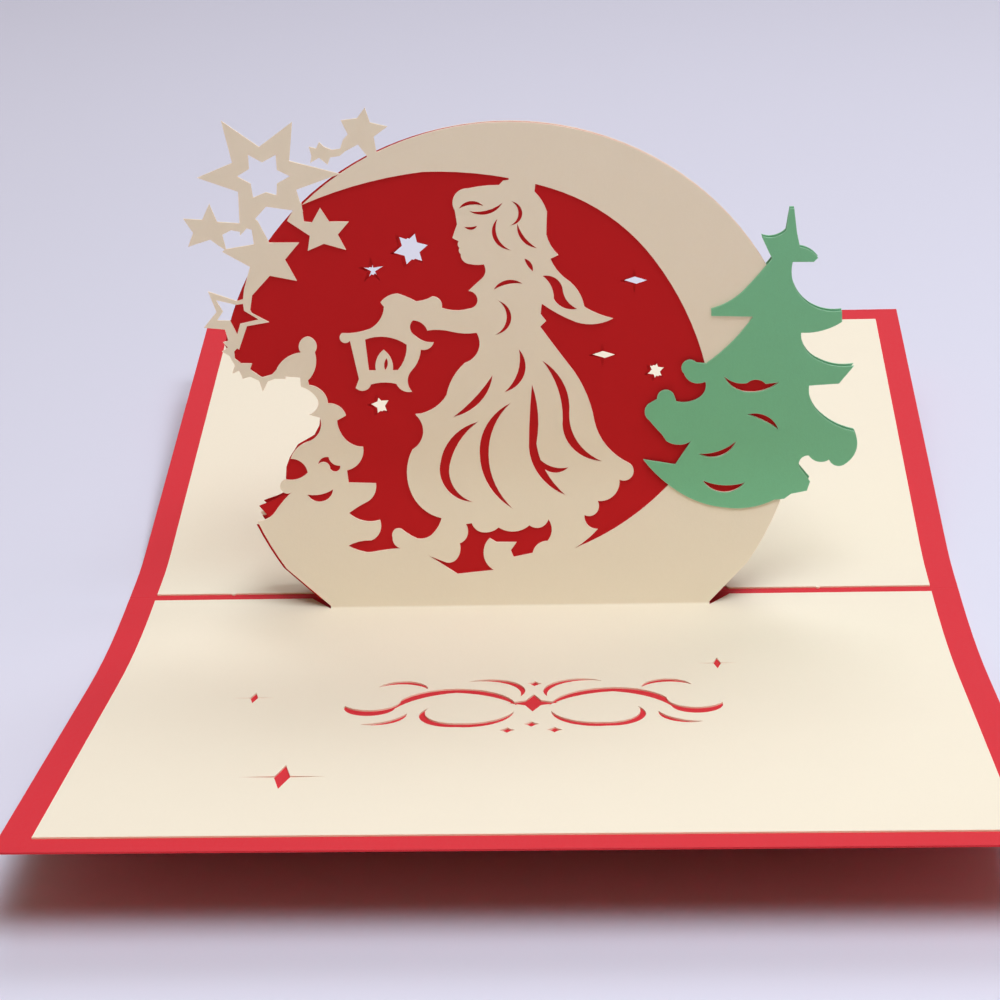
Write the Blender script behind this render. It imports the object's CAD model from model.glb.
import bmesh
import bpy
import math
from mathutils import Matrix, Vector

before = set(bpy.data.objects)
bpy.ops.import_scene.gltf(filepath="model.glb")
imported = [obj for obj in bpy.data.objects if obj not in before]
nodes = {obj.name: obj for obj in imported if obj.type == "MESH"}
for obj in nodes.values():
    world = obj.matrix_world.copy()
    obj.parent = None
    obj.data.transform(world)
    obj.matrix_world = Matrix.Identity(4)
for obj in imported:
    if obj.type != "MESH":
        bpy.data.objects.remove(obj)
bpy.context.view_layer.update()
print("pop up card: frame loaded with", len(nodes), "sheets")


def linearColour(red, green, blue):  # from the usual 0 to 255 values
    channels = [value / 255 for value in (red, green, blue)]
    return [c / 12.92 if c <= 0.04045 else ((c + 0.055) / 1.055) ** 2.4 for c in channels] + [1.0]


def addNode(tree, kind, **settings):
    node = tree.nodes.new(kind)
    for name, value in settings.items():
        setattr(node, name, value)
    return node


def feed(socket, value):  # with another node's output, or with a plain value
    if isinstance(value, bpy.types.NodeSocket):
        socket.id_data.links.new(value, socket)
    else:
        socket.default_value = value


def setInputs(node, **values):  # an underscore stands for a space in a socket's name
    for name, value in values.items():
        feed(node.inputs[name.replace("_", " ")], value)


def addMath(tree, operation, *values):
    node = addNode(tree, "ShaderNodeMath", operation=operation)
    for socket, value in zip(node.inputs, values):
        feed(socket, value)
    return node.outputs["Value"]


def addNoise(tree, vector, scale, detail, roughness=0.5):
    noise = addNode(tree, "ShaderNodeTexNoise")
    setInputs(noise, Vector=vector, Scale=scale, Detail=detail, Roughness=roughness)
    return noise.outputs["Fac"]


def addRamp(tree, value, start, end, **settings):  # 0 at the start value, 1 at the end value
    ramp = addNode(tree, "ShaderNodeMapRange", **settings)
    setInputs(ramp, Value=value, From_Min=start, From_Max=end)
    return ramp.outputs["Result"]


def addColourMix(tree, share, first, second):
    mix = addNode(tree, "ShaderNodeMix", data_type="RGBA")
    setInputs(mix, Factor=share)
    for socket, colour in zip([s for s in mix.inputs if s.type == "RGBA"], (first, second)):
        feed(socket, colour)
    return next(s for s in mix.outputs if s.type == "RGBA")


def addShaderMix(tree, share, first, second):
    mix = addNode(tree, "ShaderNodeMixShader")
    for socket, value in zip(mix.inputs, (share, first, second)):
        feed(socket, value)
    return mix.outputs["Shader"]


def startGroup(name, inputs, outputs):
    group = bpy.data.node_groups.new(name, "ShaderNodeTree")
    for way, sockets in (("INPUT", inputs), ("OUTPUT", outputs)):
        for label, kind in sockets:
            group.interface.new_socket(label, in_out=way, socket_type="NodeSocket" + kind)
    return group, addNode(group, "NodeGroupInput").outputs, addNode(group, "NodeGroupOutput")


# Paper: felted fibres, a soft cloudy tone and a surface that is never quite even
fibre = {
    "turn": (0.3, 0.5, 0.7), "stretch": (1.0, 0.35, 0.6), "scale": 1500, "detail": 3, "roughness": 0.6,
    "cloudScale": 28, "cloudDetail": 3, "speckScale": 3200, "speckDetail": 1,
    "unevenSheen": 0.3, "height": 0.0001,
}


def makePaperGroup(look):
    group, given, result = startGroup(
        "paperFibres",
        [("Vector", "Vector"), ("Colour", "Color"), ("Cloud", "Float"), ("Grain", "Float"),
         ("Roughness", "Float")],
        [("Colour", "Color"), ("Roughness", "Float"), ("Height", "Float")],
    )
    turned = addNode(group, "ShaderNodeMapping")
    setInputs(turned, Vector=given["Vector"], Rotation=look["turn"], Scale=look["stretch"])
    cloud = addNoise(group, given["Vector"], look["cloudScale"], look["cloudDetail"])
    fibres = addNoise(group, turned.outputs["Vector"], look["scale"], look["detail"], look["roughness"])
    specks = addNoise(group, given["Vector"], look["speckScale"], look["speckDetail"])

    # the noises lie around a half, so that is taken off before they change a tone
    cloudTone = addMath(group, "MULTIPLY", addMath(group, "SUBTRACT", cloud, 0.5), given["Cloud"])
    grain = addMath(group, "MULTIPLY", addMath(group, "ADD", fibres, specks), 0.5)
    unevenGrain = addMath(group, "SUBTRACT", grain, 0.5)
    grainTone = addMath(group, "MULTIPLY", unevenGrain, given["Grain"])
    tone = addMath(group, "ADD", addMath(group, "ADD", cloudTone, grainTone), 1.0)
    tint = addNode(group, "ShaderNodeVectorMath", operation="SCALE")
    setInputs(tint, Vector=given["Colour"], Scale=tone)
    uneven = addMath(group, "MULTIPLY", unevenGrain, look["unevenSheen"])
    setInputs(result, Colour=tint.outputs["Vector"], Height=grain,
              Roughness=addMath(group, "ADD", given["Roughness"], uneven))
    return group


# Cut edges: the freshly cut rim of a sheet catches the light as a thin paler line
rim = {"width": 0.0003, "samples": 6, "flatShare": 0.995, "fullShare": 0.9}


def makeEdgeGroup(look):
    group, given, result = startGroup(
        "cutEdge", [("Colour", "Color"), ("Rim", "Color"), ("Amount", "Float")], [("Colour", "Color")])
    rounded = addNode(group, "ShaderNodeBevel", samples=look["samples"])
    setInputs(rounded, Radius=look["width"])
    flat = addNode(group, "ShaderNodeNewGeometry")
    facing = addNode(group, "ShaderNodeVectorMath", operation="DOT_PRODUCT")
    for socket, normal in zip(facing.inputs, (rounded.outputs["Normal"], flat.outputs["Normal"])):
        feed(socket, normal)
    onRim = addRamp(group, facing.outputs["Value"], look["flatShare"], look["fullShare"])
    share = addMath(group, "MULTIPLY", onRim, given["Amount"])
    setInputs(result, Colour=addColourMix(group, share, given["Colour"], given["Rim"]))
    return group


paperFibres = makePaperGroup(fibre)
cutEdge = makeEdgeGroup(rim)


def makePaper(look):
    material = bpy.data.materials.new(look["slot"])
    material.use_nodes = True
    tree = material.node_tree
    place = addNode(tree, "ShaderNodeTexCoord")
    fibres = addNode(tree, "ShaderNodeGroup", node_tree=paperFibres)
    setInputs(fibres, Vector=place.outputs["Object"], Colour=linearColour(*look["colour"]),
              Cloud=look["cloud"], Grain=look["grain"], Roughness=look["roughness"])
    edge = addNode(tree, "ShaderNodeGroup", node_tree=cutEdge)
    setInputs(edge, Colour=fibres.outputs["Colour"], Rim=linearColour(*look["rim"]), Amount=look["rimAmount"])
    bump = addNode(tree, "ShaderNodeBump")
    setInputs(bump, Strength=look["tooth"], Distance=fibre["height"], Height=fibres.outputs["Height"])
    setInputs(tree.nodes["Principled BSDF"], Base_Color=edge.outputs["Colour"],
              Roughness=fibres.outputs["Roughness"], Specular_IOR_Level=look["gloss"],
              Normal=bump.outputs["Normal"])
    return material


cover = {
    "nodes": ["cover"], "slot": "red_card",
    "colour": (214, 40, 54), "cloud": 0.05, "grain": 0.08, "roughness": 0.7, "gloss": 0.3, "tooth": 0.35,
    "rim": (226, 62, 72), "rimAmount": 0.5,
}
leaves = {
    "nodes": ["front_leaf", "back_leaf"], "slot": "cream_paper",
    "colour": (241, 230, 212), "cloud": 0.03, "grain": 0.04, "roughness": 0.75, "gloss": 0.25, "tooth": 0.3,
    "rim": (255, 232, 216), "rimAmount": 0.8,
}
discs = {
    "nodes": ["front_disc", "back_disc"], "slot": "dark_red_paper",
    "colour": (192, 30, 35), "cloud": 0.05, "grain": 0.08, "roughness": 0.8, "gloss": 0.1, "tooth": 0.35,
    "rim": (150, 14, 18), "rimAmount": 0.5,
}
trees = {
    "nodes": ["front_tree", "rear_tree"], "slot": "green_paper",
    "colour": (121, 191, 150), "cloud": 0.06, "grain": 0.12, "roughness": 0.7, "gloss": 0.25, "tooth": 0.45,
    "rim": (176, 216, 190), "rimAmount": 0.6,
}
for look in (cover, leaves, discs, trees):
    paper = makePaper(look)
    for name in look["nodes"]:
        sheet = nodes[name]
        sheet.data.materials.clear()
        sheet.data.materials.append(paper)
print("pop up card: paper on every sheet")


# Table that sweeps up into a soft backdrop
backdrop = {
    "width": 9.0, "front": -3.0, "bendStart": 2.0, "bendRadius": 1.0, "bendSteps": 16, "height": 2.5,
    "roughness": 0.9, "gloss": 0.1,
    "tableColour": (224, 222, 240), "wallColour": (213, 211, 229), "fadeStart": 0.42, "fadeEnd": 1.0,
    "hazeColour": (216, 214, 229), "hazeStart": 0.6, "hazeEnd": 1.3,  # far table, to the sides
    "hazeForward": 1.7,  # how much sooner the haze starts in front of the card
}


def makeBackdrop(look):
    shape = bmesh.new()
    left, right = -look["width"] / 2, look["width"] / 2
    edge = [shape.verts.new((x, look["front"], 0)) for x in (left, right)]
    strip = shape.edges.new(edge)

    def pull(edges, move):
        grown = bmesh.ops.extrude_edge_only(shape, edges=edges)["geom"]
        verts = [part for part in grown if isinstance(part, bmesh.types.BMVert)]
        bmesh.ops.translate(shape, verts=verts, vec=move)
        return [part for part in grown if isinstance(part, bmesh.types.BMEdge)
                and all(v in verts for v in part.verts)]

    edges = pull([strip], (0, look["bendStart"] - look["front"], 0))
    centre = Vector((0, look["bendStart"], look["bendRadius"]))
    bent = bmesh.ops.spin(shape, geom=edges, cent=centre, axis=(1, 0, 0), angle=math.pi / 2,
                          steps=look["bendSteps"], use_merge=True)["geom_last"]
    pull([part for part in bent if isinstance(part, bmesh.types.BMEdge)], (0, 0, look["height"]))
    bmesh.ops.recalc_face_normals(shape, faces=shape.faces)
    mesh = bpy.data.meshes.new("backdrop")
    shape.to_mesh(mesh)
    shape.free()
    for face in mesh.polygons:
        face.use_smooth = True
    return mesh


def makeBackdropMaterial(look):
    material = bpy.data.materials.new("backdropPaper")
    material.use_nodes = True
    tree = material.node_tree
    place = addNode(tree, "ShaderNodeTexCoord")
    split = addNode(tree, "ShaderNodeSeparateXYZ")
    setInputs(split, Vector=place.outputs["Object"])
    fade = addRamp(tree, split.outputs["Y"], look["fadeStart"], look["fadeEnd"],
                   interpolation_type="SMOOTHSTEP")
    colour = addColourMix(tree, fade, linearColour(*look["tableColour"]), linearColour(*look["wallColour"]))
    shader = tree.nodes["Principled BSDF"]
    setInputs(shader, Base_Color=colour, Roughness=look["roughness"], Specular_IOR_Level=look["gloss"])

    # the camera sees pale haze where the table runs out of the picture
    across = addMath(tree, "ABSOLUTE", split.outputs["X"])
    forward = addMath(tree, "MULTIPLY", split.outputs["Y"], -look["hazeForward"])
    haze = addRamp(tree, addMath(tree, "MAXIMUM", across, forward), look["hazeStart"], look["hazeEnd"],
                   interpolation_type="SMOOTHSTEP")
    seen = addNode(tree, "ShaderNodeLightPath").outputs["Is Camera Ray"]
    glow = addNode(tree, "ShaderNodeEmission")
    setInputs(glow, Color=linearColour(*look["hazeColour"]))
    blend = addShaderMix(tree, addMath(tree, "MULTIPLY", haze, seen), shader.outputs["BSDF"],
                         glow.outputs["Emission"])
    setInputs(tree.nodes["Material Output"], Surface=blend)
    return material


sweep = bpy.data.objects.new("backdrop", makeBackdrop(backdrop))
sweep.data.materials.append(makeBackdropMaterial(backdrop))
bpy.context.scene.collection.objects.link(sweep)
print("pop up card: table and backdrop")


# Light: a weak warm soft box in front, one overhead, one over the backdrop, and the room itself
softBoxes = [
    {"name": "frontFill", "place": (0, -1.1, 0.4), "aim": (0, 0, 0.06), "size": (1.0, 0.5), "watts": 0.9,
     "colour": (255, 225, 120)},
    {"name": "overhead", "place": (0.3, -0.25, 1.1), "aim": (0, 0, 0.03), "size": (1.0, 0.5), "watts": 11.4,
     "colour": (240, 250, 255)},
    {"name": "overBackdrop", "place": (0.2, 1.3, 1.4), "aim": (0, 0.9, 0), "size": (1.5, 0.8), "watts": 14,
     "colour": (245, 252, 255)},
]
room = {"colour": (255, 220, 190), "strength": 0.225}


def makeSoftBox(box):
    lamp = bpy.data.lights.new(box["name"], "AREA")
    lamp.shape = "RECTANGLE"
    lamp.size, lamp.size_y = box["size"]
    lamp.energy = box["watts"]
    lamp.color = linearColour(*box["colour"])[:3]
    holder = bpy.data.objects.new(box["name"], lamp)
    holder.location = box["place"]
    holder.rotation_euler = (Vector(box["aim"]) - Vector(box["place"])).to_track_quat("-Z", "Y").to_euler()
    bpy.context.scene.collection.objects.link(holder)


def makeRoom(look, hazeColour):
    world = bpy.data.worlds.new("room")
    world.use_nodes = True
    tree = world.node_tree
    glow = tree.nodes["Background"]
    setInputs(glow, Color=linearColour(*look["colour"]), Strength=look["strength"])
    haze = addNode(tree, "ShaderNodeBackground")
    setInputs(haze, Color=linearColour(*hazeColour))
    seen = addNode(tree, "ShaderNodeLightPath").outputs["Is Camera Ray"]
    blend = addShaderMix(tree, seen, glow.outputs["Background"], haze.outputs["Background"])
    setInputs(tree.nodes["World Output"], Surface=blend)
    return world


for box in softBoxes:
    makeSoftBox(box)
bpy.context.scene.world = makeRoom(room, backdrop["hazeColour"])
bpy.context.scene.view_settings.view_transform = "Standard"
print("pop up card: light")


# Camera: where the photograph was taken from
cameraFit = {
    "place": (0.01926, -0.56835, 0.26736), "lens": 93.6, "sensor": 36.0, "near": 0.01, "far": 20,
    "pitchDown": 23.076, "turnLeft": 2.860, "roll": -1.919,  # degrees
}


def makeCamera(fit):
    lens = bpy.data.cameras.new("camera")
    lens.lens = fit["lens"]
    lens.sensor_width = fit["sensor"]
    lens.clip_start = fit["near"]
    lens.clip_end = fit["far"]
    holder = bpy.data.objects.new("camera", lens)
    turn = Matrix.Rotation(math.radians(fit["turnLeft"]), 4, "Z")
    turn @= Matrix.Rotation(math.radians(90 - fit["pitchDown"]), 4, "X")
    turn @= Matrix.Rotation(math.radians(fit["roll"]), 4, "Z")
    holder.matrix_world = Matrix.Translation(fit["place"]) @ turn
    bpy.context.scene.collection.objects.link(holder)
    bpy.context.scene.camera = holder


makeCamera(cameraFit)
print("pop up card: camera")
